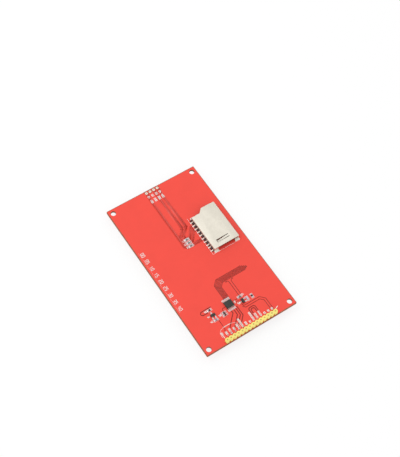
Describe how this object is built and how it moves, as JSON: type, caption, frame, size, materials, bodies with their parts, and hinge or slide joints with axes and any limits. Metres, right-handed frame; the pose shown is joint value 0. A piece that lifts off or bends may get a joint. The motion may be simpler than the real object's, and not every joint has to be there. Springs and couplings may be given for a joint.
{
  "type": "tft display module",
  "caption": "Colour liquid-crystal display with a touch screen, taped to a red carrier board that has a memory card socket, small chips and a pin header on its back.",
  "frame": {"origin": "centre of the lowest face, which is the face of the screen", "axes": "+Z out of the component side of the board, away from the screen; +Y along the board away from the pin header; +X towards the mouth of the card socket"},
  "size_m": [0.0618, 0.108, 0.0082],
  "materials": {
    "board": "glass-epoxy board under a satin red solder mask",
    "header_plastic": "moulded yellow insulator",
    "pin_metal": "plated square pins",
    "solder": "bright solder cones",
    "socket_plastic": "black moulded base",
    "shell_metal": "stamped, nickel-plated steel sheet",
    "contact_metal": "plated spring strip",
    "mould_compound": "black epoxy mould compound",
    "lead_metal": "tinned leads and chip ends",
    "resistor_ceramic": "dark glazed top on a ceramic chip",
    "capacitor_ceramic": "plain sintered ceramic",
    "touch_film": "hard-coated flexible film over a dark picture",
    "adhesive": "black adhesive tape",
    "sheet_glass": "clear sheet glass with ground edges",
    "polariser": "dark polarising film",
    "silicon": "bare silicon die",
    "flex": "amber polyimide film with copper tracks",
    "optical_film": "translucent optical film",
    "acrylic": "clear moulded acrylic",
    "led": "phosphor-filled diode packages on their strip",
    "white_plastic": "white moulded plastic and film",
    "foam": "dark double-sided foam"
  },
  "bodies": {
    "root": {"circuit_board": "board", "header_housing": "header_plastic", "header_pin_01": "pin_metal", "header_pin_02": "pin_metal", "header_pin_03": "pin_metal", "header_pin_04": "pin_metal", "header_pin_05": "pin_metal", "header_pin_06": "pin_metal", "header_pin_07": "pin_metal", "header_pin_08": "pin_metal", "header_pin_09": "pin_metal", "header_pin_10": "pin_metal", "header_pin_11": "pin_metal", "header_pin_12": "pin_metal", "header_pin_13": "pin_metal", "header_pin_14": "pin_metal", "header_solder": "solder", "socket_base": "socket_plastic", "socket_shell": "shell_metal", "card_contacts": "contact_metal", "switch_contact": "contact_metal", "controller_body": "mould_compound", "regulator_body": "mould_compound", "transistor_body": "mould_compound", "controller_leads": "lead_metal", "regulator_leads": "lead_metal", "transistor_leads": "lead_metal", "chip_ends": "lead_metal", "resistor_1": "resistor_ceramic", "resistor_2": "resistor_ceramic", "resistor_3": "resistor_ceramic", "resistor_4": "resistor_ceramic", "resistor_5": "resistor_ceramic", "resistor_6": "resistor_ceramic", "capacitor_1": "capacitor_ceramic", "capacitor_2": "capacitor_ceramic", "capacitor_3": "capacitor_ceramic", "capacitor_4": "capacitor_ceramic", "touch_film": "touch_film", "touch_spacer": "adhesive", "touch_adhesive": "adhesive", "rim_tape": "adhesive", "touch_glass": "sheet_glass", "colour_filter_glass": "sheet_glass", "array_glass": "sheet_glass", "front_polariser": "polariser", "rear_polariser": "polariser", "driver_chip": "silicon", "panel_flex": "flex", "touch_flex": "flex", "prism_film": "optical_film", "diffuser_film": "optical_film", "light_guide": "acrylic", "backlight_leds": "led", "led_strip": "led", "backlight_frame": "white_plastic", "reflector_sheet": "white_plastic", "foam_tape": "foam"}
  },
  "joints": []
}
